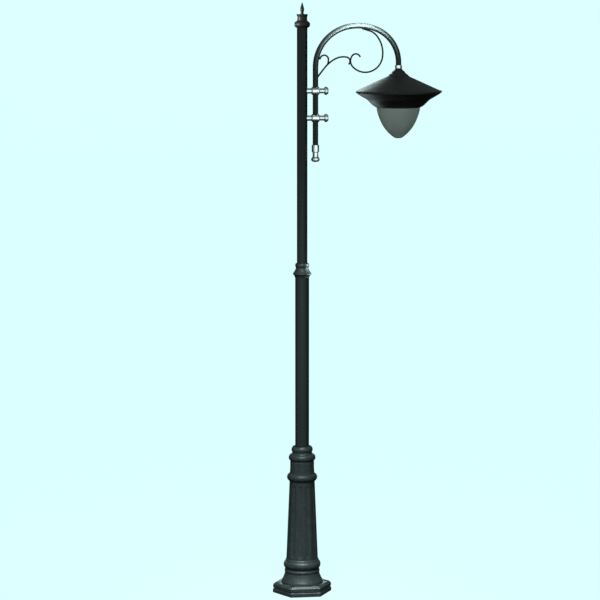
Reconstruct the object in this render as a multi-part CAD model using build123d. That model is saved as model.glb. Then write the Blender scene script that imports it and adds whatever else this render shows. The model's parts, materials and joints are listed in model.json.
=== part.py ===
from build123d import *
from math import asin, cos, radians, sin, sqrt
import os

# Street lamp: cast base, two-stage tubular column, goose-neck arm with scrollwork, bell luminaire.
# Millimetres. Z is up, the origin is on the column axis at ground level, and +X points to the
# luminaire. The lamp is symmetrical about the XZ plane apart from its door, gear and latch.

os.makedirs("parts", exist_ok=True)

# ---------------------------------------------------------------- driving dimensions
# base casting
PLINTH_R = 218.0            # corner radius of the hexagonal plinth
PLINTH_H = 74.0
ANCHOR_R = 177.5            # anchor bolt circle radius
ANCHOR_HOLE_R = 10.0
ANCHOR_NUT_AF = 24.0        # M16
NUT_SEAT = PLINTH_H - 16.0  # the nuts stand flush in counterbores
BELL_FOOT_R = 153.0
SHAFT_Z = (262.0, 818.0)    # straight tapered shaft, foot and head
SHAFT_R = (116.0, 93.0)
CAST_WALL = 10.0
FLUTES = 12
FLUTE_Z = (297.0, 787.0)    # centres of the rounded ends
FLUTE_TOOL_R = (83.0, 65.0)
FLUTE_DEPTH = (5.0, 4.2)
BASE_TOP = 1090.0
SOCKET_SEAT = 880.0

# service door
DOOR_Z = (430.0, 700.0)
DOOR_HALF_ANGLE = 30.0
DOOR_GAP = 1.5
HINGE_AZ = 125.0
HINGE_STANDOFF = 9.0
HINGE_PIN_R = 4.0
RUN = 0.05                  # radial clearance of a turning fit
LOCK_AZ = 70.0
LOCK_Z = 565.0

# column
LOWER_R = 50.8              # 101.6 x 3.6 tube
LOWER_WALL = 3.6
LOWER_TOP = 2374.0
UPPER_R = 38.05             # 76.1 x 3.2 tube
UPPER_WALL = 3.2
UPPER_FOOT = 2150.0
UPPER_TOP = 4143.0
CABLE_R = 4.0
CABLE_BEND = 40.0

# arm
ARM_R = 20.0                # 40 x 2.5 tube
ARM_WALL = 2.5
ARM_X = 97.0
ARM_FOOT = 3255.0
BEND_Z = 3860.0             # top of the straight leg
BENDS = ((295.0, 80.0), (380.0, 28.0))      # radius and turn; a last bend points the arm down
ARM_END = 3853.0
BRACKET_Z = (3690.0, 3494.0)
BOSS_R = 14.0
WAY_R = 10.5                # cable way through the upper bracket
BAR_R = 6.0                 # scroll bar
WELD = 0.05                 # gap left at a welded contact

# luminaire
LUM_X = 704.0
CONE_FOOT = (300.0, 3690.5)
CONE_HEAD = (97.0, 3782.5)
CANOPY_HOLE = 62.0
CANOPY_SKIN = 2.8           # measured vertically
RIM_R = 308.0
SPLIT_Z = 3678.0
GASKET = 2.5
LID_HINGE_R = 311.0
LID_HINGE_Z = 3680.0
KNUCKLE_R = 8.0
LATCH_R = 282.0
LATCH_AZ = 135.0
TRAY_Z = 3740.0

BASE = (Align.CENTER, Align.CENTER, Align.MIN)


# ---------------------------------------------------------------- helpers
def save(name, *solids):
    """Write one piece, or a set of identical pieces, to its own file."""
    shape = solids[0] if len(solids) == 1 else Compound(children=list(solids))
    shape.label = name
    export_step(shape, f"parts/{name}.step")


def arc(mid, end):
    """A step of an outline that reaches its end along an arc through mid."""
    return ("arc", mid, end)


def edges_through(start, steps):
    """Lines and arcs in the XZ plane through (radius, height) points."""
    edges = []
    here = start
    for step in steps:
        if step[0] == "arc":
            points = [(p[0], 0, p[1]) for p in (here, step[1], step[2])]
            edges.append(ThreePointArc(*points))
            here = step[2]
        elif step != here:
            edges.append(Line((here[0], 0, here[1]), (step[0], 0, step[1])))
            here = step
    return edges


def turned(start, *steps):
    """Solid turned about Z from a closed outline."""
    return revolve(make_face(edges_through(start, steps + (start,))), Axis.Z)


def turned_x(start, *steps):
    """Solid turned about X from a closed outline of (radius, x) points."""
    return Rot(0, 90, 0) * turned(start, *steps)


def dome(edge, top):
    """A step that closes an outline on the axis with a spherical cap."""
    rise = top - edge[1]
    radius = (edge[0] ** 2 + rise ** 2) / (2 * abs(rise))
    side = 1 if rise > 0 else -1
    half_angle = asin(edge[0] / radius) / 2
    mid = (radius * sin(half_angle), top - side * radius * (1 - cos(half_angle)))
    return arc(mid, (0, top))


def rod(radius, low, high):
    """Vertical round bar between two heights."""
    return Pos(0, 0, low) * Cylinder(radius, high - low, align=BASE)


def tube(outer, inner, low, high):
    return rod(outer, low, high) - rod(inner, low - 1, high + 1)


def block(x, y, z):
    """Box between pairs of limits."""
    size = [side[1] - side[0] for side in (x, y, z)]
    return Pos((x[0] + x[1]) / 2, (y[0] + y[1]) / 2, (z[0] + z[1]) / 2) * Box(*size)


def hexagon(radius, low, high):
    """Hexagonal slab with a corner on +X."""
    return Pos(0, 0, low) * extrude(RegularPolygon(radius, 6), high - low)


def radial(azimuth, radius, height):
    """Placement with local Z out from the axis, local X up, local Y to lower azimuths."""
    out = Vector(cos(radians(azimuth)), sin(radians(azimuth)), 0)
    return Plane(origin=out * radius + Vector(0, 0, height), x_dir=(0, 0, 1), z_dir=out)


def around(radius, count, start=0.0):
    return PolarLocations(radius, count, start).locations


def hex_nut(across, bore, height):
    """Hexagon nut with chamfered corners."""
    corner = across / sqrt(3)
    slab = extrude(RegularPolygon(across / 2, 6, major_radius=False), height)
    ease = 0.16 * height
    trim = turned((0, 0), (across / 2, 0), (corner, ease), (corner, height - ease),
                  (across / 2, height), (0, height))
    return (slab & trim) - Cylinder(bore, 3 * height)


def grub(radius, length):
    """Socket set screw, its point at the local origin."""
    socket = Pos(0, 0, 0.55 * length) * extrude(RegularPolygon(0.55 * radius, 6), length)
    return Cylinder(radius, length, align=BASE) - socket


def pan_screw(radius, length, head_r, head_h):
    """Slotted screw; the underside of its head is at the local origin, head towards +Z."""
    head = turned((0, 0), (head_r, 0), (head_r, 0.5 * head_h),
                  arc((0.75 * head_r, 0.86 * head_h), (0, head_h)))
    slot = Pos(0, 0, head_h) * Box(3 * head_r, 0.22 * head_r, 0.9 * head_h)
    return head - slot + Pos(0, 0, -length) * Cylinder(radius, length, align=BASE)


def shaft_r(z):
    """Radius over the ridges of the tapered shaft."""
    share = (z - SHAFT_Z[0]) / (SHAFT_Z[1] - SHAFT_Z[0])
    return SHAFT_R[0] + share * (SHAFT_R[1] - SHAFT_R[0])


def cone_z(r):
    """Height of the canopy's outer face."""
    share = (r - CONE_HEAD[0]) / (CONE_FOOT[0] - CONE_HEAD[0])
    return CONE_HEAD[1] + share * (CONE_FOOT[1] - CONE_HEAD[1])


# ---------------------------------------------------------------- base casting
def flute_tool(azimuth):
    """Round-ended taper that leaves one shallow arched flute."""
    r_low, r_high = FLUTE_TOOL_R
    low = Vector(shaft_r(FLUTE_Z[0]) + r_low - FLUTE_DEPTH[0], 0, FLUTE_Z[0])
    high = Vector(shaft_r(FLUTE_Z[1]) + r_high - FLUTE_DEPTH[1], 0, FLUTE_Z[1])
    run = high - low
    lean = asin((r_low - r_high) / run.length)
    mid_low = (lean - radians(90)) / 2
    mid_high = (lean + radians(90)) / 2
    tool = turned(
        (0, -r_low),
        arc((r_low * cos(mid_low), r_low * sin(mid_low)), (r_low * cos(lean), r_low * sin(lean))),
        (r_high * cos(lean), run.length + r_high * sin(lean)),
        arc((r_high * cos(mid_high), run.length + r_high * sin(mid_high)),
            (0, run.length + r_high)))
    return Rot(0, 0, azimuth) * (Plane(origin=low, z_dir=run) * tool)


flutes = [flute_tool(15 + 360 / FLUTES * i) for i in range(FLUTES)]

# moulded hexagonal plinth: rounded lower slab, groove, bevelled upper slab
lower_slab = hexagon(PLINTH_R, 0, 32)
lower_slab = fillet(lower_slab.faces().sort_by(Axis.Z)[-1].edges(), 11)
bevel = loft([Pos(0, 0, 60) * RegularPolygon(PLINTH_R - 2, 6),
              Pos(0, 0, PLINTH_H) * RegularPolygon(200, 6)])
plinth = lower_slab + hexagon(PLINTH_R - 8, 31, 38) + hexagon(PLINTH_R - 2, 37, 60) + bevel

# bell, rings and tapered shaft
outer = turned(
    (0, 20), (BELL_FOOT_R, 20), (BELL_FOOT_R, 78),
    arc((151.5, 86), (147, 95)),
    arc((135, 120), (126.5, 146)),
    (126, 151), arc((129.5, 161), (125.5, 172)), (124.5, 182),
    arc((136, 207), (123, 237)), (122, 246),
    arc((118, 251), (SHAFT_R[0], SHAFT_Z[0])), (SHAFT_R[1], SHAFT_Z[1]),
    (93, 834), arc((111, 862), (91, 890)),
    (89.4, 903), arc((87.6, 940), (88, 970)), (86, 984),
    arc((98.5, 1007), (77, 1034)),
    arc((73.5, 1041), (72.5, 1050)),
    arc((78, 1066), (73, 1082)), (68, BASE_TOP), (0, BASE_TOP))
hollow = turned(
    (0, -1), (141, -1), (141, 74), (135, 95), (117, 142), (117, 190), (125, 200), (125, 220),
    (113, 243), (SHAFT_R[0] - CAST_WALL, SHAFT_Z[0]), (SHAFT_R[1] - CAST_WALL, SHAFT_Z[1]),
    (84, 832), (98, 850), (98, 874), (80, 893), (79, 986), (70, 1000), (61, 1000),
    (61, SOCKET_SEAT - 10), (0, SOCKET_SEAT - 10))
socket = rod(44, SOCKET_SEAT - 20, SOCKET_SEAT) + rod(LOWER_R, SOCKET_SEAT, BASE_TOP + 1)

recess = hexagon(PLINTH_R - 16, -1, 28)
for place in around(ANCHOR_R, 6):
    recess -= place * rod(22, -2, 29)

casting = plinth + outer - hollow - socket - recess
for tool in flutes:
    casting -= tool
for place in around(ANCHOR_R, 6):
    casting -= place * rod(ANCHOR_HOLE_R, -1, PLINTH_H + 1)
    casting -= place * rod(17.5, NUT_SEAT, PLINTH_H + 1)

# lugs inside for the backboard, the door stops and the earth stud
for z in (475, 655):
    lug = radial(-90, 52, z) * Cylinder(11, shaft_r(z) - CAST_WALL + 3 - 52, align=BASE)
    casting += lug
    casting -= radial(-90, 52, z) * Cylinder(3, 24, align=BASE)
for z in (470, 660):
    inner = shaft_r(z) - CAST_WALL
    stop = radial(90 - DOOR_HALF_ANGLE, 0, z)
    casting += stop * block((-10, 10), (-9, 10), (inner - 9, inner - 1.6))
    casting += stop * block((-10, 10), (2, 10), (inner - 9, inner + 4))
EARTH_AZ = 20.0
EARTH_Z = 452.0
casting += radial(EARTH_AZ, 84, EARTH_Z) * Cylinder(10, shaft_r(EARTH_Z) - CAST_WALL - 81, align=BASE)
casting -= radial(EARTH_AZ, 80, EARTH_Z) * Cylinder(4, 14, align=BASE)

# door opening at the back
reach = 200.0
half = radians(DOOR_HALF_ANGLE)
wedge_face = make_face(Polyline((0, 0), (reach * sin(half), reach * cos(half)), (0, reach + 40),
                                (-reach * sin(half), reach * cos(half)), close=True))
wedge = Pos(0, 0, DOOR_Z[0]) * extrude(wedge_face, DOOR_Z[1] - DOOR_Z[0])
stops_only = wedge & rod(shaft_r(DOOR_Z[1]) - CAST_WALL - 0.9, 0, 1000)
casting -= wedge - stops_only

# hinge: local X towards the door, local Y outwards, local Z up the shaft's slope
slope = (SHAFT_R[0] - SHAFT_R[1]) / (SHAFT_Z[1] - SHAFT_Z[0])
out = Vector(cos(radians(HINGE_AZ)), sin(radians(HINGE_AZ)), 0)
hinge_dir = Vector(-slope * out.X, -slope * out.Y, 1)


def hinge_at(z):
    origin = out * (shaft_r(z) + HINGE_STANDOFF) + Vector(0, 0, z)
    return Plane(origin=origin, x_dir=(out.Y, -out.X, 0), z_dir=hinge_dir)


KNUCKLES = (470.0, 640.0)
KNUCKLE_H = 18.0
for z in KNUCKLES:
    casting += hinge_at(z) * (block((-13, 0), (-14, 2), (0, KNUCKLE_H)) + rod(7, 0, KNUCKLE_H))
    casting -= hinge_at(z) * rod(HINGE_PIN_R, -1, KNUCKLE_H + 1)

# set screws that lock the lower tube in the socket
for azimuth in (90, 210, 330):
    casting -= radial(azimuth, LOWER_R - 1, 1066) * Cylinder(5, 40, align=BASE)
save("base_casting", casting)
save("base_set_screws", *[radial(a, LOWER_R, 1066) * grub(5, 24) for a in (90, 210, 330)])

save("anchor_washers", *[place * tube(15, 8.5, NUT_SEAT, NUT_SEAT + 3)
                         for place in around(ANCHOR_R, 6)])
save("anchor_nuts", *[place * Pos(0, 0, NUT_SEAT + 3) * hex_nut(ANCHOR_NUT_AF, 8, 13)
                      for place in around(ANCHOR_R, 6)])

# ---------------------------------------------------------------- service door
skin = turned((shaft_r(420) - CAST_WALL, 420), (shaft_r(420), 420), (shaft_r(710), 710),
              (shaft_r(710) - CAST_WALL, 710))
for tool in flutes:
    skin -= tool
lift = DOOR_GAP / sin(half)
door_wedge = Pos(0, lift, DOOR_Z[0] + DOOR_GAP) * extrude(
    wedge_face, DOOR_Z[1] - DOOR_Z[0] - 2 * DOOR_GAP)
door = skin & door_wedge
lock = radial(LOCK_AZ, 0, LOCK_Z)
LOCK_IN = 88.6
LOCK_OUT = 104.5
door += lock * rod(13.5, LOCK_IN, LOCK_OUT)
for z in KNUCKLES:
    leaf = rod(7, KNUCKLE_H + 0.5, 2 * KNUCKLE_H)
    leaf += block((0, 24), (-7.5, -1), (KNUCKLE_H + 0.5, 2 * KNUCKLE_H))
    leaf += block((11.5, 24), (-17.5, -7), (KNUCKLE_H + 0.5, 2 * KNUCKLE_H))
    door += hinge_at(z) * leaf
    door -= hinge_at(z) * rod(HINGE_PIN_R + RUN, KNUCKLE_H, 2 * KNUCKLE_H + 1)
door -= lock * rod(7 + RUN, LOCK_IN - 5, LOCK_OUT + 5)
save("service_door", door)
save("door_hinge_pins", *[hinge_at(z) * rod(HINGE_PIN_R, 0, 2 * KNUCKLE_H + 2) for z in KNUCKLES])

spindle = rod(7, LOCK_IN - 0.2, LOCK_OUT + 0.2) + rod(5, 78, LOCK_IN)
spindle += rod(11, LOCK_OUT + 0.2, LOCK_OUT + 2.6)
spindle += Pos(0, 0, LOCK_OUT + 2) * extrude(RegularPolygon(6, 3), 9)
save("door_lock_spindle", lock * spindle)
tongue_plate = make_face([
    Line((0, -7), (-22, -7)), ThreePointArc((-22, -7), (-29, 0), (-22, 7)),
    Line((-22, 7), (0, 7)), ThreePointArc((0, 7), (7, 0), (0, -7))])
tongue = Pos(0, 0, LOCK_IN - 3.3) * extrude(tongue_plate, 3) - rod(5, 70, 100)
save("door_lock_tongue", lock * tongue)
save("door_lock_nut", lock * (Pos(0, 0, LOCK_IN - 9.3) * hex_nut(16, 5, 6)))

# ---------------------------------------------------------------- gear behind the door
BOARD_Y = (-52.0, -44.0)
board = block((-36, 36), BOARD_Y, (445, 685))
for z in (475, 655):
    board -= radial(-90, 40, z) * Cylinder(3, 20, align=BASE)
save("backboard", board)
save("backboard_screws", *[Plane(origin=(0, BOARD_Y[1], z), z_dir=(0, 1, 0)) * pan_screw(3, 20, 6, 3.6)
                           for z in (475, 655)])

# cut-out with two hinged fuse carriers
CUTOUT_Y = (BOARD_Y[1], -6.0)
CARRIER_X = 15.0
PIVOT = (-8.0, 536.0)
cutout = block((-31, 31), CUTOUT_Y, (500, 625))
cutout = fillet(cutout.edges().filter_by(Axis.Z).group_by(Axis.Y)[-1], 3)
for side in (-1, 1):
    cutout -= Pos(side * CARRIER_X, 0, 0) * block((-10.5, 10.5), (-20, 0), (530.4, 599))
    cutout -= Pos(side * CARRIER_X, PIVOT[0], PIVOT[1]) * Rot(0, 90, 0) * Cylinder(2.5 + RUN, 27.4)
cutout -= Pos(0, -25, 0) * rod(CABLE_R, 610, 630)
for x in (-18, 0, 18):
    cutout -= Pos(x, -25, 0) * rod(6, 495, 512)
save("cutout_body", cutout)


def carrier(x):
    """Fuse carrier, open at the back, on moulded trunnions."""
    shell = block((-10, 10), (-18, 2), (PIVOT[1], 594))
    shell = fillet(shell.edges().filter_by(Axis.X).sort_by(Axis.Y)[-1], 3)
    shell += block((-7, 7), (1, 6), (575, 587))
    shell += Pos(0, *PIVOT) * Rot(0, 90, 0) * Cylinder(5, 20)
    shell += Pos(0, *PIVOT) * Rot(0, 90, 0) * Cylinder(2.5, 26)
    shell -= Pos(0, -10, 0) * rod(5.15, 548, 586)
    shell -= block((-5.15, 5.15), (-19, -10), (548, 586))
    return Pos(x, 0, 0) * shell


def cartridge(x, radius):
    """Fuse cartridge with raised end caps."""
    return Pos(x, -10, 0) * turned((0, 548), (5.15, 548), (5.15, 557), (radius, 557),
                                   (radius, 577), (5.15, 577), (5.15, 586), (0, 586))


save("fuse_carrier_line", carrier(-CARRIER_X))
save("fuse_carrier_neutral", carrier(CARRIER_X))
save("fuse_cartridge", cartridge(-CARRIER_X, 4.9))
save("neutral_link", cartridge(CARRIER_X, 4.4))

save("earth_stud", radial(EARTH_AZ, 56, EARTH_Z) * Cylinder(4, 38, align=BASE))
m8_nuts = [radial(EARTH_AZ, r, EARTH_Z) * hex_nut(13, 4, 6.5) for r in (77.5, 64)]

# ---------------------------------------------------------------- column
save("lower_tube", tube(LOWER_R, LOWER_R - LOWER_WALL, SOCKET_SEAT, LOWER_TOP))
save("centring_bush", turned(
    (UPPER_R, UPPER_FOOT), (UPPER_R, UPPER_FOOT + 30), (LOWER_R - LOWER_WALL, UPPER_FOOT + 30),
    (LOWER_R - LOWER_WALL, UPPER_FOOT - 5), (31, UPPER_FOOT - 5), (31, UPPER_FOOT)))

collar = turned(
    (LOWER_R, 2337), (52.5, 2337), arc((57, 2349), (66, 2360)), arc((67.3, 2364), (65.5, 2369)),
    arc((54, 2386), (46.5, 2404)), (46, 2410), arc((50.6, 2424), (46.5, 2440)),
    (UPPER_R, 2440), (UPPER_R, LOWER_TOP), (LOWER_R, LOWER_TOP))
for azimuth in (30, 90, 150):
    collar -= radial(azimuth, UPPER_R - 1, 2424) * Cylinder(4, 30, align=BASE)
    collar -= radial(azimuth, LOWER_R - 1, 2355) * Cylinder(4, 30, align=BASE)
save("reducer_collar", collar)
save("collar_set_screws",
     *[radial(a, UPPER_R, 2424) * grub(4, 11) for a in (30, 90, 150)],
     *[radial(a, LOWER_R, 2355) * grub(4, 11) for a in (30, 90, 150)])

upper_tube = tube(UPPER_R, UPPER_R - UPPER_WALL, UPPER_FOOT, UPPER_TOP)
for z in BRACKET_Z:
    upper_tube -= Pos(0, 0, z) * Rot(0, 90, 0) * Cylinder(BOSS_R, 60, align=BASE)
save("upper_tube", upper_tube)

SPIGOT_R = UPPER_R - UPPER_WALL
cap = turned(
    (0, UPPER_TOP - 45), (SPIGOT_R - 2, UPPER_TOP - 45), (SPIGOT_R, UPPER_TOP - 42),
    (SPIGOT_R, UPPER_TOP), (42, UPPER_TOP), arc((57.5, 4167), (42, 4190)),
    arc((38, 4193.5), (36.5, 4200)), arc((37, 4222), (41, 4235)), (40, 4240),
    (7, 4240), (7, 4226), (0, 4226))
cap -= rod(22, UPPER_TOP - 50, UPPER_TOP + 20)
for azimuth in (90, 210, 330):
    cap -= radial(azimuth, 20, 4167) * Cylinder(1.6, 5, align=BASE)
save("pole_cap", cap)
save("finial_spear", turned(
    (0, 4227), (7, 4227), (7, 4240), (14, 4240), (14, 4243), arc((11, 4245.5), (10, 4250)),
    arc((11.2, 4257), (13.8, 4265)), arc((14.4, 4275), (12.4, 4288)),
    arc((7, 4307), (1.2, 4324)), (0, 4326)))

# ---------------------------------------------------------------- brackets
pole = rod(UPPER_R, 3300, 3900)
standoffs = []
bosses = []
knobs = []
screws = []
for z in BRACKET_Z:
    level = Pos(0, 0, z)
    bosses.append(level * turned_x((WAY_R, 33.5), (BOSS_R, 33.5), (BOSS_R, 60), (WAY_R, 60)))
    body = level * turned_x(
        (0, 25), (19.5, 25), (19.5, 65), arc((22, 68.5), (27, 71)), (29, 74), (29, 120),
        (27, 123), arc((21.5, 124.5), (18.5, 129)), (18.5, 157.5), (17, 159), (0, 159))
    body -= pole
    body -= level * turned_x((0, 20), (BOSS_R, 20), (BOSS_R, 60), (WAY_R, 60), (WAY_R, 97),
                             (6, 97), (6, 164), (0, 164))
    body -= Pos(ARM_X, 0, 0) * rod(ARM_R, z - 40, z + 40)
    body -= Pos(49, 0, z - 30) * Cylinder(3, 20, align=BASE)
    standoffs.append(body)
    screws.append(Pos(49, 0, z - BOSS_R) * Rot(180, 0, 0) * grub(3, 5))
    knobs.append(level * turned_x(
        (0, ARM_X + ARM_R + 0.2), (6, ARM_X + ARM_R + 0.2), (6, 159), (16, 159), (16, 161.5),
        (23, 162), arc((29, 166), (30, 172)), arc((29.4, 178), (25.5, 181)), (24.5, 185),
        arc((23.5, 187.5), (21, 189)), dome((21, 189), 192)))
save("bracket_bosses", *bosses)
save("bracket_standoffs", *standoffs)
save("bracket_knobs", *knobs)

# ---------------------------------------------------------------- arm and scrollwork
def tangent_run(start, heading, legs):
    """Tangent edges in the XZ plane, with the point and the heading they end at.

    A leg is (radius, turn) with the turn in degrees clockwise, or (length, 0) for a straight.
    The heading is measured clockwise from +Z.
    """
    x, z = start
    h = radians(heading)
    edges = []
    for radius, turn in legs:
        if turn == 0:
            end = (x + radius * sin(h), z + radius * cos(h))
            edges.append(Line((x, 0, z), (end[0], 0, end[1])))
        else:
            side = 1 if turn > 0 else -1
            centre = (x + side * radius * cos(h), z - side * radius * sin(h))
            mid_h = h + radians(turn) / 2
            h += radians(turn)
            mid = (centre[0] - side * radius * cos(mid_h), centre[1] + side * radius * sin(mid_h))
            end = (centre[0] - side * radius * cos(h), centre[1] + side * radius * sin(h))
            edges.append(ThreePointArc((x, 0, z), (mid[0], 0, mid[1]), (end[0], 0, end[1])))
        x, z = end
    return edges, end, heading + sum(turn for _, turn in legs)


rise, crown_end, dip = tangent_run((ARM_X, BEND_Z), 0, BENDS)
last_r = (LUM_X - crown_end[0]) / (1 + cos(radians(dip)))
fall, arm_drop, _ = tangent_run(crown_end, dip, [(last_r, 180 - dip)])
arm_path = Wire([Line((ARM_X, 0, ARM_FOOT), (ARM_X, 0, BEND_Z)), *rise, *fall,
                 Line((LUM_X, 0, arm_drop[1]), (LUM_X, 0, ARM_END))])
arm_start = Plane(origin=(ARM_X, 0, ARM_FOOT))
arm = sweep(arm_start * Circle(ARM_R), path=arm_path)
arm -= sweep(arm_start * Circle(ARM_R - ARM_WALL), path=arm_path)
arm -= Pos(ARM_X - 40, 0, BRACKET_Z[0]) * Rot(0, 90, 0) * Cylinder(WAY_R, 40, align=BASE)
save("arm_tube", arm)

end_cap = turned(
    (0, 3176), (14, 3177.5), arc((22.5, 3180.5), (28, 3186)), arc((31, 3191), (30.5, 3198)),
    arc((27, 3207), (20.7, 3215)), (20.7, 3246), (25.5, 3249), (27, 3251), (27, 3298),
    (25.5, 3300), (ARM_R, 3300), (ARM_R, ARM_FOOT), (0, ARM_FOOT))
end_cap -= radial(90, ARM_R - 1, 3275) * Cylinder(3, 20, align=BASE)
save("arm_end_cap", Pos(ARM_X, 0, 0) * end_cap)
screws.append(Pos(ARM_X, 0, 0) * (radial(90, ARM_R, 3275) * grub(3, 5)))


def bar(start, heading, legs, radius=BAR_R):
    """Round bar along tangent legs in the arm's plane."""
    first = Plane(origin=(start[0], 0, start[1]),
                  z_dir=(sin(radians(heading)), 0, cos(radians(heading))))
    return sweep(first * Circle(radius), path=Wire(tangent_run(start, heading, legs)[0]))


# the main scroll leaves the crown at a shallow angle, then curls in on itself
MAIN = ((437.1, 4136.2), 107, [(55, 0), (111, 33.5), (198, 48.5), (126, 128.5), (61.5, 80.5),
                              (33, 125.5)])
save("main_scroll", bar(*MAIN) - sweep(arm_start * Circle(ARM_R + WELD), path=arm_path))

# the branch rises from the leg, meets the curl of the main scroll and ends in a short tail
BRANCH = ((105.1, 3778.1), 35, [(1200, 5), (238, 22), (129, 39), (30, 129)])
branch = bar(*BRANCH)
branch -= Pos(ARM_X, 0, 0) * rod(ARM_R + WELD, 3700, BEND_Z)
branch -= bar(*MAIN, BAR_R + WELD)
save("branch_scroll", branch)

# the small curl springs from the back of the branch and bends over to the arm
curl = bar((186.2, 3880.5), 16, [(125, -16), (30.8, -180)])
curl -= bar(*BRANCH, BAR_R + WELD)
save("small_curl", curl)

# ---------------------------------------------------------------- luminaire: fixed part
LUM = Pos(LUM_X, 0, 0)
STEM_R = 16.9
CAP_TOP = 3849.0
sleeve = turned(
    (10, 3800), (STEM_R, 3800), (STEM_R, CAP_TOP), (24.5, CAP_TOP), (25.5, CAP_TOP + 1.5),
    (25.5, 3870.5), (24, 3872), (ARM_R, 3872), (ARM_R, ARM_END), (10, ARM_END))
for azimuth in (90, 210):
    sleeve -= radial(azimuth, ARM_R - 1, 3861) * Cylinder(3, 20, align=BASE)
    screws.append(LUM * (radial(azimuth, ARM_R, 3861) * grub(3, 5)))
save("coupling_sleeve", LUM * sleeve)
save("m6_set_screws", *screws)

HUB_R = 24.0
HUB_FOOT = TRAY_Z + 2
cap = turned(
    (STEM_R, CAP_TOP), (22.5, CAP_TOP), (25, 3844.5), (33, 3835.5), (42.5, 3827), (47, 3826),
    (48.5, 3818.5), (54, 3812.5), (64, 3805.5), (69, 3804.5), (70.5, 3798), (81.5, 3791.5),
    (82, cone_z(82)),
    (CANOPY_HOLE, cone_z(CANOPY_HOLE)), (32, 3802), (HUB_R, 3797), (HUB_R, HUB_FOOT),
    (10, HUB_FOOT), (10, 3800), (STEM_R, 3800))
for x in (-17, 17):
    cap -= Pos(x, 0, 0) * rod(2.5, HUB_FOOT - 1, HUB_FOOT + 16)
save("canopy_cap", LUM * cap)

canopy = turned(
    (CANOPY_HOLE, cone_z(CANOPY_HOLE)), CONE_FOOT, (RIM_R - 1, SPLIT_Z + 8), (RIM_R, SPLIT_Z + 6),
    (RIM_R, SPLIT_Z),
    (268, SPLIT_Z), (268, SPLIT_Z + 2.6), (298, SPLIT_Z + 2.6), (298, SPLIT_Z + 6),
    (292, cone_z(292) - CANOPY_SKIN), (CANOPY_HOLE, cone_z(CANOPY_HOLE) - CANOPY_SKIN))
latch_at = Rot(0, 0, LATCH_AZ) * Pos(LATCH_R, 0, 0)
canopy -= latch_at * Pos(0, 0, SPLIT_Z) * Box(9, 22, 12)
# hinge at the end away from the column, its axis across the arm
lid_axis = Plane(origin=(LID_HINGE_R, 0, LID_HINGE_Z), z_dir=(0, -1, 0), x_dir=(0, 0, 1))
for low, high in ((-14, 14), (22, 26)):
    canopy -= lid_axis * rod(KNUCKLE_R + 0.7, low, high)
for low, high in ((-22, -14), (14, 22)):
    canopy += block((298, LID_HINGE_R), (low, high), (SPLIT_Z, SPLIT_Z + 8))
    canopy += lid_axis * rod(KNUCKLE_R, low, high)
canopy -= lid_axis * rod(HINGE_PIN_R, -30, 30)
save("canopy", LUM * canopy)
save("lid_hinge_pin", LUM * (lid_axis * (rod(HINGE_PIN_R, -24, 24) + rod(6, 22, 25))))

under = CANOPY_SKIN
save("canopy_clamp", LUM * turned(
    (HUB_R, 3785), (HUB_R, cone_z(CANOPY_HOLE) - under), (CANOPY_HOLE, cone_z(CANOPY_HOLE) - under),
    (76, cone_z(76) - under), (76, 3785)))
save("clamp_nut", LUM * (Pos(0, 0, 3773) * hex_nut(62, HUB_R, 12)))
save("rim_gasket", LUM * tube(300, 286, SPLIT_Z - GASKET, SPLIT_Z))

# ---------------------------------------------------------------- gear in the canopy
POSTS = (60, 180, 300)
tray = rod(130, TRAY_Z, TRAY_Z + 2) - rod(10, TRAY_Z - 1, TRAY_Z + 3)
for x in (-17, 17):
    tray -= Pos(x, 0, 0) * rod(2.5, TRAY_Z - 1, TRAY_Z + 3)
for y in (-39, 39):
    tray -= Pos(0, y, 0) * rod(2.5, TRAY_Z - 1, TRAY_Z + 3)
tray -= Pos(-72, 42, 0) * rod(4, TRAY_Z - 1, TRAY_Z + 3)
for azimuth in POSTS:
    tray -= Rot(0, 0, azimuth) * Pos(110, 0, 0) * rod(2.5, TRAY_Z - 1, TRAY_Z + 3)
save("gear_tray", LUM * tray)
flip = Rot(180, 0, 0)

core = block((57, 113), (-42, 42), (TRAY_Z - 44, TRAY_Z))
core += block((64, 106), (-56, 56), (TRAY_Z - 38, TRAY_Z - 8))
save("ballast", LUM * core)
ignitor = block((-88, -58), (-72, -16), (TRAY_Z - 28, TRAY_Z))
save("ignitor", LUM * fillet(ignitor.edges().filter_by(Axis.Z), 4))
save("capacitor", LUM * Pos(-72, 42, 0) * (
    rod(18, TRAY_Z - 48, TRAY_Z) + rod(4, TRAY_Z - 1, TRAY_Z + 10)))
m8_nuts.append(LUM * Pos(-72, 42, TRAY_Z + 2) * hex_nut(13, 4, 6.5))
terminals = block((-11, 11), (-20, 20), (TRAY_Z - 16, TRAY_Z)) - rod(CABLE_R, TRAY_Z - 10, TRAY_Z + 1)
for y in (-12, 0, 12):
    terminals -= Pos(0, y, TRAY_Z - 16) * Cylinder(3, 6)
save("terminal_block", LUM * terminals)

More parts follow.
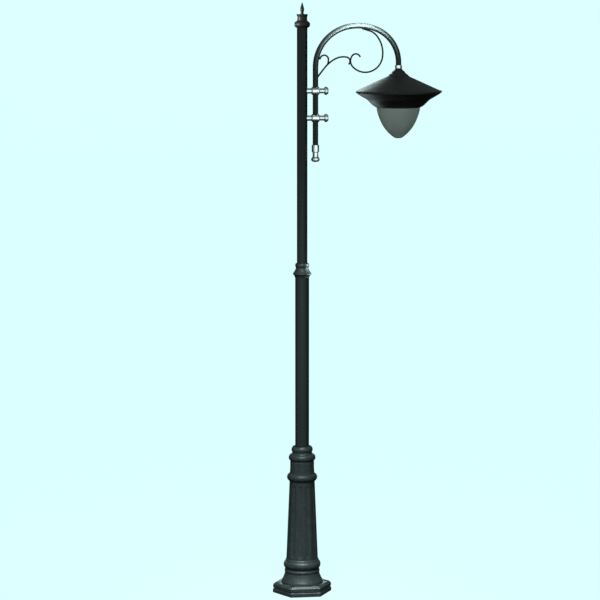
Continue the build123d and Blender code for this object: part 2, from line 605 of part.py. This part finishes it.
HOLDER_TOP = 3708.0
bracket = block((-15, 15), (-32, 32), (HOLDER_TOP, HOLDER_TOP + 2))
for side in (-1, 1):
    leg = block((-15, 15), (30, 32), (HOLDER_TOP, TRAY_Z))
    leg += block((-15, 15), (30, 46), (TRAY_Z - 2, TRAY_Z))
    leg -= Pos(0, 39, 0) * rod(2.5, TRAY_Z - 3, TRAY_Z + 1)
    bracket += leg if side > 0 else mirror(leg, Plane.XZ)
bracket -= rod(4, HOLDER_TOP - 1, HOLDER_TOP + 3)
save("lampholder_bracket", LUM * bracket)
tray_screws = [LUM * Pos(x, 0, TRAY_Z) * flip * pan_screw(2.5, 12, 4.5, 3) for x in (-17, 17)]
tray_screws += [LUM * Pos(0, y, TRAY_Z - 2) * flip * pan_screw(2.5, 12, 4.5, 3) for y in (-39, 39)]
save("tray_screws", *tray_screws)
holder = turned(
    (0, HOLDER_TOP - 6), (13.2, HOLDER_TOP - 6), (13.2, 3673), (21, 3673), (22, 3675),
    (22, HOLDER_TOP - 14), (18, HOLDER_TOP - 8), (18, HOLDER_TOP), (4, HOLDER_TOP),
    (4, HOLDER_TOP + 10), (0, HOLDER_TOP + 10))
save("lampholder", LUM * holder)
m8_nuts.append(LUM * Pos(0, 0, HOLDER_TOP + 2) * hex_nut(13, 4, 6.5))
save("m8_nuts", *m8_nuts)
save("lamp", LUM * turned(
    (0, HOLDER_TOP - 6), (8, HOLDER_TOP - 7), (13.2, HOLDER_TOP - 10), (13.2, 3671),
    (15, 3669), arc((18, 3654), (27, 3637)), arc((34.5, 3603), (25, 3566)),
    dome((25, 3566), 3546)))

REFLECTOR_Z = 3690.0
reflector = turned(
    (26, REFLECTOR_Z), (26, REFLECTOR_Z + 1.2), (118, REFLECTOR_Z + 1.2), (152, 3662.4),
    (152, 3661), (118, REFLECTOR_Z))
posts = []
nuts = []
for azimuth in POSTS:
    place = LUM * Rot(0, 0, azimuth) * Pos(110, 0, 0)
    reflector -= Rot(0, 0, azimuth) * Pos(110, 0, 0) * rod(2.5, REFLECTOR_Z - 1, REFLECTOR_Z + 2)
    posts.append(place * (rod(4.5, REFLECTOR_Z + 1.2, TRAY_Z) + rod(2.5, REFLECTOR_Z - 6, TRAY_Z + 8)))
    nuts.append(place * Pos(0, 0, TRAY_Z + 2) * hex_nut(8, 2.5, 4))
    nuts.append(place * Pos(0, 0, REFLECTOR_Z - 4) * hex_nut(8, 2.5, 4))
save("reflector", LUM * reflector)
save("reflector_posts", *posts)
save("reflector_nuts", *nuts)

# ---------------------------------------------------------------- luminaire: hinged part
SKIRT_TOP = SPLIT_Z - GASKET
SEAT_Z = 3582.0
skirt = turned(
    (262, SKIRT_TOP), (RIM_R, SKIRT_TOP), (RIM_R, 3672.5), arc((296.5, 3664), (279.5, 3653)),
    (255, 3638.5), arc((226, 3621), (206, 3602)), (197.5, 3593), (184, 3580.5), (159, 3566),
    (159, SEAT_Z), (182, SEAT_Z), (194.5, 3596), (203, 3605), arc((223, 3624.5), (253, 3642)),
    (276.5, 3656), arc((292, 3666), (299, SKIRT_TOP - 3)), (262, SKIRT_TOP - 3))
skirt += latch_at * rod(9, 3647, SKIRT_TOP)
for low, high in ((-26, -13), (13, 26)):
    skirt -= lid_axis * rod(KNUCKLE_R + 0.7, low, high)
skirt += block((299, LID_HINGE_R), (-13, 13), (SKIRT_TOP - 7, SKIRT_TOP))
skirt += lid_axis * rod(KNUCKLE_R, -13, 13)
skirt -= lid_axis * rod(HINGE_PIN_R + RUN, -14, 14)
skirt -= latch_at * rod(4 + RUN, 3640, SKIRT_TOP + 1)
for place in around(177, 4, 45):
    skirt += place * rod(4.4, SEAT_Z - 3, SEAT_Z + 6)
    skirt -= place * rod(2, SEAT_Z - 1, SEAT_Z + 7)
save("skirt", LUM * skirt)

save("bowl_gasket", LUM * tube(171, 160.5, SEAT_Z, SEAT_Z + 2))
BOWL_TOP = SEAT_Z + 6
outside = Spline((157.5, 0, 3563), (142, 0, 3500), (116, 0, 3442), (80, 0, 3392),
                 (39, 0, 3355), (0, 0, 3343), tangents=[(-0.1, 0, -1), (-1, 0, 0)])
inside = Spline((0, 0, 3346.5), (37.5, 0, 3358.3), (77.6, 0, 3394.8), (113.2, 0, 3443.8),
                (138.9, 0, 3501), (154.2, 0, 3563), tangents=[(1, 0, 0), (0.1, 0, 1)])
rest = edges_through((154.2, 3563), [(154.2, BOWL_TOP), (172, BOWL_TOP), (172, BOWL_TOP - 4),
                                     (157.5, BOWL_TOP - 4), (157.5, 3563)])
bottom = Line((0, 0, 3343), (0, 0, 3346.5))
save("bowl", LUM * revolve(make_face([outside, bottom, inside, *rest]), Axis.Z))
ring = tube(181.5, 158, BOWL_TOP, BOWL_TOP + 3)
for place in around(177, 4, 45):
    ring -= place * rod(2, BOWL_TOP - 1, BOWL_TOP + 4)
save("bowl_ring", LUM * ring)
save("bowl_ring_screws", *[LUM * place * Pos(0, 0, BOWL_TOP + 3) * pan_screw(2, 9, 3.6, 2.5)
                           for place in around(177, 4, 45)])

# quarter-turn latch; its cross-bar stands over the slot in the canopy's flange
latch = turned((0, 3641.5), (9, 3641.5), (10, 3642.5), (10, 3645.8), (9, 3646.8), (0, 3646.8))
for place in around(10.8, 10):
    latch -= place * rod(1.4, 3640, 3648)
latch += rod(4, 3645, SPLIT_Z + 7) + block((-3, 3), (-10, 10), (SPLIT_Z + 3.4, SPLIT_Z + 7.4))
save("lid_latch", LUM * latch_at * latch)

# ---------------------------------------------------------------- supply cable
way = BRACKET_Z[0] - 4
drop = FilletPolyline(
    (0, -25, 611), (0, -25, 680), (0, 0, 760), (0, 0, way), (ARM_X, 0, way), (ARM_X, 0, BEND_Z),
    radius=CABLE_BEND)
tail = Line((LUM_X, 0, arm_drop[1]), (LUM_X, 0, TRAY_Z - 9))
route = Wire([*drop.edges(), *rise, *fall, tail])
save("supply_cable", sweep(Plane(origin=(0, -25, 611)) * Circle(CABLE_R), path=route))
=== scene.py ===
import json
import math
import random

import bmesh
import bpy
from mathutils import Matrix, Vector
from mathutils.bvhtree import BVHTree


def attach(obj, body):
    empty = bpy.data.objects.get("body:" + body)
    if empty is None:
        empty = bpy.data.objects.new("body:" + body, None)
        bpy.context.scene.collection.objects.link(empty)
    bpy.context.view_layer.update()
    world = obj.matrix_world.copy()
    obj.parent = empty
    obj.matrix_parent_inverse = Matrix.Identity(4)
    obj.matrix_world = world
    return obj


# Street lamp: finishes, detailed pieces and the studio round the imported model. Metres throughout.

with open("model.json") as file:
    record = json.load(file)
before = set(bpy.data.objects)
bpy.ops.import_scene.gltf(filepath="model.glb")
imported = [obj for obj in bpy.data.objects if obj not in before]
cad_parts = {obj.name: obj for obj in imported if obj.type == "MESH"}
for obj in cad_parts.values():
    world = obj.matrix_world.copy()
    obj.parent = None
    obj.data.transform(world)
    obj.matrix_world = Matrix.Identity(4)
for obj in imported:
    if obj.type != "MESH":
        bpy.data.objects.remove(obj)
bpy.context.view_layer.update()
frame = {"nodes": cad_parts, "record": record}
nodes = frame["nodes"]
MM = 0.001


# ---------------------------------------------------------------- shader helpers
def srgb(*channels):
    """Linear RGBA of an 8-bit colour."""
    linear = []
    for channel in channels:
        share = channel / 255
        linear.append(share / 12.92 if share <= 0.04045 else ((share + 0.055) / 1.055) ** 2.4)
    return (*linear, 1.0)


def map_range(tree, value, source, target):
    """Node that maps the source pair of a value to the target pair, held at both ends."""
    node = tree.nodes.new("ShaderNodeMapRange")
    tree.links.new(value, node.inputs["Value"])
    node.inputs["From Min"].default_value, node.inputs["From Max"].default_value = source
    node.inputs["To Min"].default_value, node.inputs["To Max"].default_value = target
    return node


class Finish:
    """A Principled material put together from procedural nodes."""

    def __init__(self, name):
        self.material = bpy.data.materials.new(name)
        self.material.use_nodes = True
        self.tree = self.material.node_tree
        self.shader = self.tree.nodes["Principled BSDF"]
        place = self.tree.nodes.new("ShaderNodeTexCoord")
        self.place = place.outputs["Object"]
        self.normal = place.outputs["Normal"]

    def put(self, socket, value):
        """Links a socket to another one, or sets its value."""
        if isinstance(value, bpy.types.NodeSocket):
            self.tree.links.new(value, socket)
        else:
            socket.default_value = value

    def surface(self, **values):
        """Sets the shader's sockets; an underscore in a name stands for a space."""
        for name, value in values.items():
            self.put(self.shader.inputs[name.replace("_", " ")], value)

    def stretched(self, scale):
        """Position, scaled along each axis."""
        mapping = self.tree.nodes.new("ShaderNodeMapping")
        self.put(mapping.inputs["Vector"], self.place)
        mapping.inputs["Scale"].default_value = scale
        return mapping.outputs["Vector"]

    def noise(self, scale, detail=4.0, roughness=0.55, place=None):
        node = self.tree.nodes.new("ShaderNodeTexNoise")
        self.put(node.inputs["Vector"], place or self.place)
        node.inputs["Scale"].default_value = scale
        node.inputs["Detail"].default_value = detail
        node.inputs["Roughness"].default_value = roughness
        return node.outputs["Fac"]

    def cells(self, scale):
        """Distance from the nearest of scattered points."""
        node = self.tree.nodes.new("ShaderNodeTexVoronoi")
        self.put(node.inputs["Vector"], self.place)
        node.inputs["Scale"].default_value = scale
        return node.outputs["Distance"]

    def spread(self, value, low, high, to_low=0.0, to_high=1.0):
        """Maps low..high of a value to to_low..to_high, held at both ends."""
        return map_range(self.tree, value, (low, high), (to_low, to_high)).outputs["Result"]

    def maths(self, operation, first, second):
        node = self.tree.nodes.new("ShaderNodeMath")
        node.operation = operation
        self.put(node.inputs[0], first)
        self.put(node.inputs[1], second)
        return node.outputs["Value"]

    def mixed(self, share, first, second):
        node = self.tree.nodes.new("ShaderNodeMix")
        node.data_type = "RGBA"
        self.put(node.inputs["Factor"], share)
        self.put(node.inputs["A"], first)
        self.put(node.inputs["B"], second)
        return node.outputs["Result"]

    def up(self):
        """1 on surfaces that face the sky, 0 on walls and undersides."""
        split = self.tree.nodes.new("ShaderNodeSeparateXYZ")
        self.put(split.inputs["Vector"], self.normal)
        return split.outputs["Z"]

    def height(self):
        """Height above the ground."""
        split = self.tree.nodes.new("ShaderNodeSeparateXYZ")
        self.put(split.inputs["Vector"], self.place)
        return split.outputs["Z"]

    def bump(self, relief, depth, under=None):
        """Normals of a relief of the given depth, laid over other normals."""
        node = self.tree.nodes.new("ShaderNodeBump")
        self.put(node.inputs["Height"], relief)
        node.inputs["Distance"].default_value = depth
        node.inputs["Strength"].default_value = 1.0
        if under is not None:
            self.put(node.inputs["Normal"], under)
        return node.outputs["Normal"]


# ---------------------------------------------------------------- finishes
# heights at which the chips in the cast enamel begin, are full, thin out again and end
CHIPPED = (0.22, 0.3, 0.42, 0.62)


def enamel(name, colour, dusty, gloss, peel, dust_share, grain=0.0):
    """Black enamel: uneven film, thin dust on what faces up, orange peel over any cast grain."""
    f = Finish(name)
    worn = tuple(1.25 * channel for channel in colour[:3]) + (1.0,)
    film = f.mixed(f.spread(f.noise(5.0, 5.0), 0.35, 0.7), colour, worn)
    settled = f.maths("MULTIPLY", f.spread(f.up(), 0.3, 0.95), f.spread(f.noise(38.0, 6.0), 0.35, 0.75))
    dust = f.maths("MULTIPLY", settled, dust_share)
    tint = f.mixed(dust, film, dusty)
    rough = f.spread(f.noise(22.0, 5.0), 0.3, 0.7, gloss - 0.04, gloss + 0.05)
    relief = f.bump(f.noise(420.0, 2.0), peel)
    if grain:
        mottle = f.spread(f.noise(46.0, 6.0, 0.7), 0.4, 0.72, 0.0, 0.32)
        tint = f.mixed(mottle, tint, srgb(70, 78, 77))
        relief = f.bump(f.noise(150.0, 5.0, 0.6), grain, relief)
        relief = f.bump(f.noise(34.0, 4.0), 3.0 * grain, relief)
        tint = f.mixed(chips(f), tint, srgb(112, 124, 120))
    f.surface(Base_Color=tint, Roughness=f.maths("ADD", rough, f.maths("MULTIPLY", dust, 0.5)),
              Normal=relief)
    f.shader.inputs["Specular IOR Level"].default_value = 0.5
    return f


def chips(f):
    """Small pale chips, scattered in patches over one stretch of height."""
    foot, full_foot, full_top, top = CHIPPED
    spots = f.spread(f.cells(90.0), 0.22, 0.1)
    patches = f.spread(f.noise(9.0, 3.0), 0.52, 0.66)
    stretch = f.maths("MULTIPLY", f.spread(f.height(), foot, full_foot), f.spread(f.height(), top, full_top))
    return f.maths("MULTIPLY", f.maths("MULTIPLY", spots, patches), stretch)


def cast_black():
    return enamel("cast_black", srgb(30, 35, 35), srgb(104, 114, 112), gloss=0.46, peel=0.04 * MM,
                  dust_share=0.22, grain=0.22 * MM)


def paint_black():
    return enamel("paint_black", srgb(20, 24, 25), srgb(84, 92, 92), gloss=0.42, peel=0.0015 * MM,
                  dust_share=0.05)


def alu_black():
    return enamel("alu_black", srgb(38, 32, 28), srgb(84, 84, 80), gloss=0.46, peel=0.002 * MM,
                  dust_share=0.05)


def metal(name, colour, dull, gloss, lay, depth):
    """Bare metal: lay is the stretch of the turning or brushing marks."""
    f = Finish(name)
    marks = f.noise(90.0, 4.0, 0.6, f.stretched(lay))
    stains = f.noise(14.0, 6.0)
    tint = f.mixed(f.spread(stains, 0.45, 0.75), colour, dull)
    dulled = f.spread(stains, 0.35, 0.75, gloss, gloss + 0.14)
    rough = f.maths("ADD", dulled, f.spread(marks, 0.3, 0.7, -0.04, 0.04))
    f.surface(Base_Color=tint, Roughness=rough, Normal=f.bump(marks, depth))
    f.shader.inputs["Metallic"].default_value = 1.0
    return f


def alu_bright():
    return metal("alu_bright", srgb(228, 230, 228), srgb(204, 208, 206), 0.3, (6, 1, 1), 0.003 * MM)


def steel():
    return metal("steel", srgb(190, 193, 196), srgb(140, 140, 138), 0.32, (1, 1, 3), 0.01 * MM)


def brass():
    return metal("brass", srgb(196, 160, 92), srgb(140, 106, 56), 0.3, (1, 1, 4), 0.01 * MM)


def moulded(name, colour, worn, gloss, depth):
    """Moulded plastic, rubber or ceramic with a fine even grain."""
    f = Finish(name)
    cloud = f.noise(9.0, 4.0)
    tint = f.mixed(f.spread(cloud, 0.35, 0.75), colour, worn)
    rough = f.spread(f.noise(60.0, 4.0), 0.3, 0.7, gloss - 0.05, gloss + 0.07)
    f.surface(Base_Color=tint, Roughness=rough, Normal=f.bump(f.noise(600.0, 2.0), depth))
    return f


def alu_white():
    return moulded("alu_white", srgb(232, 232, 226), srgb(214, 212, 200), 0.35, 0.02 * MM)


def rubber():
    return moulded("rubber", srgb(22, 22, 22), srgb(44, 43, 41), 0.7, 0.05 * MM)


def plastic_black():
    return moulded("plastic_black", srgb(26, 26, 28), srgb(40, 40, 42), 0.45, 0.04 * MM)


def plastic_grey():
    return moulded("plastic_grey", srgb(140, 143, 146), srgb(122, 124, 126), 0.5, 0.04 * MM)


def ceramic():
    return moulded("ceramic", srgb(226, 222, 210), srgb(206, 200, 186), 0.22, 0.02 * MM)


def bowl_glass():
    """Frosted bowl: lets some light through, slightly clouded."""
    f = Finish("bowl_glass")
    cloud = f.noise(7.0, 4.0)
    tint = f.mixed(f.spread(cloud, 0.3, 0.75), srgb(214, 214, 206), srgb(206, 208, 202))
    rough = f.spread(f.noise(120.0, 3.0), 0.3, 0.7, 0.36, 0.44)
    f.surface(Base_Color=tint, Roughness=rough, Normal=f.bump(f.noise(260.0, 3.0), 0.02 * MM))
    f.shader.inputs["Transmission Weight"].default_value = 0.3
    f.shader.inputs["IOR"].default_value = 1.49
    return f


def lamp_glass():
    """White-coated lamp envelope."""
    f = Finish("lamp_glass")
    cloud = f.noise(20.0, 4.0)
    tint = f.mixed(f.spread(cloud, 0.3, 0.75), srgb(238, 238, 232), srgb(226, 226, 216))
    rough = f.spread(f.noise(80.0, 3.0), 0.3, 0.7, 0.2, 0.3)
    f.surface(Base_Color=tint, Roughness=rough)
    f.shader.inputs["Transmission Weight"].default_value = 0.2
    f.shader.inputs["IOR"].default_value = 1.5
    return f


FINISHES = {make.__name__: make().material for make in (
    cast_black, paint_black, alu_black, alu_bright, alu_white, steel, brass, rubber, plastic_black,
    plastic_grey, ceramic, bowl_glass, lamp_glass)}

for part in frame["record"]["subparts"]:
    mesh = nodes[part["node"]].data
    mesh.materials.clear()
    mesh.materials.append(FINISHES[part["material_slot"]])


# ---------------------------------------------------------------- pieces
def world_mesh(name):
    """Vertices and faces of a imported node, in the world frame."""
    node = nodes[name]
    points = [node.matrix_world @ vertex.co for vertex in node.data.vertices]
    return points, [tuple(face.vertices) for face in node.data.polygons]


def add_piece(name, bm, slot):
    """Makes an object that belongs to the column from a bmesh."""
    mesh = bpy.data.meshes.new(name)
    bmesh.ops.recalc_face_normals(bm, faces=bm.faces)
    bm.to_mesh(mesh)
    bm.free()
    for face in mesh.polygons:
        face.use_smooth = True
    mesh.materials.append(FINISHES[slot])
    piece = bpy.data.objects.new(name, mesh)
    bpy.context.scene.collection.objects.link(piece)
    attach(piece, "column")
    return piece


def melted(piece, voxel, rounds):
    """Runs the overlapping blobs of a piece into one smooth skin."""
    remesh = piece.modifiers.new("melt", "REMESH")
    remesh.mode = "VOXEL"
    remesh.voxel_size = voxel
    remesh.use_smooth_shade = True
    smooth = piece.modifiers.new("settle", "SMOOTH")
    smooth.factor = 0.5
    smooth.iterations = rounds


# a bar, what it is welded to, and the widest gap that a bead fills
WELDS = (("main_scroll", "arm_tube", 0.2 * MM), ("branch_scroll", "arm_tube", 0.2 * MM),
         ("small_curl", "branch_scroll", 0.2 * MM), ("small_curl", "arm_tube", 0.8 * MM),
         ("branch_scroll", "main_scroll", 0.2 * MM))
BEAD_R = (1.5 * MM, 2.0 * MM)
BEAD_STEP = 1.7 * MM
BEAD_VOXEL = 0.7 * MM


def weld_beads():
    """Rippled weld beads along the lines where the scrollwork touches the arm and itself."""
    rng = random.Random(7)
    bm = bmesh.new()
    for bar, on, widest in WELDS:
        tree = BVHTree.FromPolygons(*world_mesh(on))
        laid = []
        for point in world_mesh(bar)[0]:
            gap = tree.find_nearest(point)[3]
            if gap > widest or any((point - other).length < BEAD_STEP for other in laid):
                continue
            laid.append(point)
            size = rng.uniform(*BEAD_R)
            flat = Matrix.Translation(point) @ Matrix.Diagonal((size, size, 0.8 * size, 1.0))
            bmesh.ops.create_icosphere(bm, subdivisions=2, radius=1.0, matrix=flat)
    melted(add_piece("weld_beads", bm, "paint_black"), BEAD_VOXEL, rounds=2)


SEAM_FOOT = 64 * MM
SEAM_STEP = 4 * MM
SEAM_ROWS = 256
SEAM_LIFT = (0.75, 1.15)
# distance from the axis, clear of the casting, at which the face is looked for
SEAM_PROBE = 0.4
# across and out from the face, in millimetres
SEAM_SECTION = ((-2.4, -0.8), (-1.6, 0.3), (-0.6, 0.7), (0.6, 0.7), (1.6, 0.3), (2.4, -0.8))


def casting_seams():
    """Low fettled ridges up both sides of the base, where the halves of the mould met."""
    rng = random.Random(11)
    tree = BVHTree.FromPolygons(*world_mesh("base_casting"))
    corners = len(SEAM_SECTION)
    bm = bmesh.new()
    for azimuth in (0.0, math.pi):
        out = Vector((math.cos(azimuth), math.sin(azimuth), 0.0))
        across = Vector((-out.y, out.x, 0.0))
        rows = []
        for step in range(SEAM_ROWS):
            start = out * SEAM_PROBE + Vector((0, 0, SEAM_FOOT + step * SEAM_STEP))
            hit, normal, _, _ = tree.ray_cast(start, -out)
            if hit is None:
                continue
            if normal.dot(out) < 0:
                normal = -normal
            lift = rng.uniform(*SEAM_LIFT)
            rows.append([bm.verts.new(hit + across * (u * MM) + normal * (w * lift * MM))
                         for u, w in SEAM_SECTION])
        for low, high in zip(rows, rows[1:]):
            for k in range(corners):
                after = (k + 1) % corners
                bm.faces.new((low[k], low[after], high[after], high[k]))
        bm.faces.new(rows[0])
        bm.faces.new(rows[-1])
    add_piece("casting_seams", bm, "cast_black")


weld_beads()
casting_seams()


# ---------------------------------------------------------------- studio
FLOOR_REACH = 50.0
WALL_TOP = 45.0
COVE_R = 8.0
COVE_STEPS = 24
FLOOR_SIDES = 96


def backdrop():
    """Pale floor that turns up into a wall far off; it isn't mirrored and sheds no light."""
    f = Finish("studio_floor")
    f.tree.nodes.remove(f.shader)
    glow = f.tree.nodes.new("ShaderNodeEmission")
    matt = f.tree.nodes.new("ShaderNodeBsdfDiffuse")
    both = f.tree.nodes.new("ShaderNodeAddShader")
    cloud = f.spread(f.noise(0.8, 3.0), 0.3, 0.7, 0.995, 1.0)
    f.put(glow.inputs["Color"], f.mixed(cloud, srgb(216, 250, 250), srgb(220, 255, 255)))
    glow.inputs["Strength"].default_value = 0.97
    matt.inputs["Color"].default_value = srgb(90, 96, 96)
    f.put(both.inputs[0], glow.outputs[0])
    f.put(both.inputs[1], matt.outputs[0])
    f.put(f.tree.nodes["Material Output"].inputs["Surface"], both.outputs[0])

    flat = FLOOR_REACH - COVE_R
    profile = [(flat, 0.0)]
    for step in range(1, COVE_STEPS + 1):
        a = math.pi / 2 * step / COVE_STEPS
        profile.append((flat + COVE_R * math.sin(a), COVE_R - COVE_R * math.cos(a)))
    profile.append((FLOOR_REACH, WALL_TOP))
    turns = [2 * math.pi * k / FLOOR_SIDES for k in range(FLOOR_SIDES)]
    bm = bmesh.new()
    rings = [[bm.verts.new((radius * math.cos(t), radius * math.sin(t), height)) for t in turns]
             for radius, height in profile]
    bm.faces.new(rings[0])
    for low, high in zip(rings, rings[1:]):
        for k in range(FLOOR_SIDES):
            after = (k + 1) % FLOOR_SIDES
            bm.faces.new((low[k], low[after], high[after], high[k]))
    mesh = bpy.data.meshes.new("studio_floor")
    bm.to_mesh(mesh)
    bm.free()
    mesh.materials.append(f.material)
    floor = bpy.data.objects.new("studio_floor", mesh)
    bpy.context.scene.collection.objects.link(floor)
    floor.visible_diffuse = False
    floor.visible_glossy = False


LIGHT_COLOUR = (0.8, 1.0, 1.0)
CASTING = ("base_casting", "service_door")
ARM = ("arm_tube",)
METALS = ("bracket_standoffs", "bracket_knobs", "arm_end_cap", "coupling_sleeve")
CAP = ("pole_cap", "finial_spear")
SHADE = ("canopy", "skirt", "canopy_cap")
COLLAR = ("reducer_collar",)
CROWN = (0.39, 0.0, 4.16)

# name, place, the point it faces, size, radiance, spread in degrees, the nodes it lights or ()
# for all; the three on the crown make it shine over its whole width
LIGHTS = (
    ("rings", (-0.4, -2.3, 3.7), (0.0, 0.0, 0.7), (1.3, 0.8), 5.5, 70.0, ()),
    ("plinth_back", (0.1, 1.7, 0.34), (0.0, 0.0, 0.06), (1.6, 0.3), 1.0, 60.0, CASTING),
    ("plinth_above", (-0.1, -0.8, 1.7), (0.0, -0.2, 0.06), (0.9, 0.3), 2.2, 30.0, CASTING),
    ("crown_above", (0.56, -0.2, 4.85), CROWN, (0.4, 0.4), 4.2, 36.0, ARM),
    ("crown_front", (0.56, -0.66, 4.46), CROWN, (0.4, 0.4), 4.8, 36.0, ARM),
    ("crown_below", (0.56, -0.7, 4.0), CROWN, (0.36, 0.36), 3.8, 34.0, ARM),
    ("metal_front", (0.45, -1.3, 3.5), (0.35, 0.0, 3.66), (2.0, 1.4), 1.35, 180.0, METALS),
    ("cap_back", (-0.5, 1.0, 4.13), (-0.04, 0.0, 4.17), (0.4, 0.3), 1.2, 60.0, CAP),
    ("cap_left", (-1.2, -0.35, 4.25), (-0.04, 0.0, 4.2), (0.3, 0.5), 5.0, 60.0, CAP),
    ("canopy_back", (0.12, 1.3, 4.12), (0.4, 0.0, 3.72), (0.9, 0.7), 0.7, 60.0, SHADE),
    ("skirt_back", (0.05, 1.0, 2.9), (0.42, 0.0, 3.66), (0.6, 0.6), 0.22, 50.0, SHADE),
    ("collar_right", (1.6, 0.1, 2.5), (0.05, 0.0, 2.38), (0.3, 0.5), 14.0, 60.0, COLLAR))


def softbox(name, place, aim, size, radiance, spread, only):
    """Rectangular area light that faces a point; with nodes named in only it lights just those."""
    data = bpy.data.lights.new(name, "AREA")
    data.shape = "RECTANGLE"
    data.size, data.size_y = size
    data.energy = radiance * math.pi * size[0] * size[1]
    data.color = LIGHT_COLOUR
    data.spread = math.radians(spread)
    light = bpy.data.objects.new(name, data)
    light.location = place
    light.rotation_euler = (Vector(aim) - Vector(place)).to_track_quat("-Z", "Y").to_euler()
    light.visible_camera = False
    if only:
        lit = bpy.data.collections.new(name + "_lights")
        for piece in only:
            lit.objects.link(nodes[piece])
        light.light_linking.receiver_collection = lit
    bpy.context.scene.collection.objects.link(light)


# radiance of the surround
FRONT = 0.37
BACK_LOW = 0.07
BACK_HIGH = 0.2


def tent():
    """Soft surround: bright in front and to the left, dim behind and above, dark below."""
    world = bpy.data.worlds.new("tent")
    world.use_nodes = True
    tree = world.node_tree
    shade = tree.nodes["Background"]
    place = tree.nodes.new("ShaderNodeTexCoord")
    split = tree.nodes.new("ShaderNodeSeparateXYZ")
    tree.links.new(place.outputs["Generated"], split.inputs["Vector"])

    def ramp(value, low, high, to_low, to_high):
        node = map_range(tree, value, (low, high), (to_low, to_high))
        node.interpolation_type = "SMOOTHSTEP"
        return node.outputs["Result"]

    def combine(operation, first, second):
        node = tree.nodes.new("ShaderNodeMath")
        node.operation = operation
        tree.links.new(first, node.inputs[0])
        if isinstance(second, float):
            node.inputs[1].default_value = second
        else:
            tree.links.new(second, node.inputs[1])
        return node.outputs["Value"]

    east = split.outputs["X"]
    north = split.outputs["Y"]
    sky = split.outputs["Z"]
    turned = combine("ADD", combine("MULTIPLY", east, 0.35), north)
    front = ramp(turned, 0.12, -0.35, 0.0, FRONT)
    front = combine("MULTIPLY", front, ramp(sky, -0.75, -0.3, 0.02, 1.0))
    front = combine("MULTIPLY", front, ramp(sky, 0.8, 0.3, 0.12, 1.0))
    behind = combine("MULTIPLY", ramp(sky, -0.1, 0.6, BACK_LOW, BACK_HIGH), ramp(sky, -0.6, 0.0, 0.1, 1.0))
    tree.links.new(combine("ADD", front, behind), shade.inputs["Strength"])
    shade.inputs["Color"].default_value = (0.78, 1.0, 1.0, 1.0)
    bpy.context.scene.world = world


def front_camera():
    """Long lens a little higher than the finial, 8 degrees to the left of the lamp's front."""
    distance = 18.0
    azimuth = math.radians(-8.0)
    height = 4.5
    pitch = math.radians(7.3727)
    turn = math.radians(0.0494)
    data = bpy.data.cameras.new("camera")
    data.sensor_width = 36.0
    data.lens = 149.5
    data.clip_end = 500.0
    camera = bpy.data.objects.new("camera", data)
    camera.location = (distance * math.sin(azimuth), -distance * math.cos(azimuth), height)
    camera.rotation_euler = (math.pi / 2 - pitch, 0.0, azimuth + turn)
    bpy.context.scene.collection.objects.link(camera)
    bpy.context.scene.camera = camera


backdrop()
tent()
for row in LIGHTS:
    softbox(*row)
front_camera()
bpy.context.scene.view_settings.view_transform = "Standard"
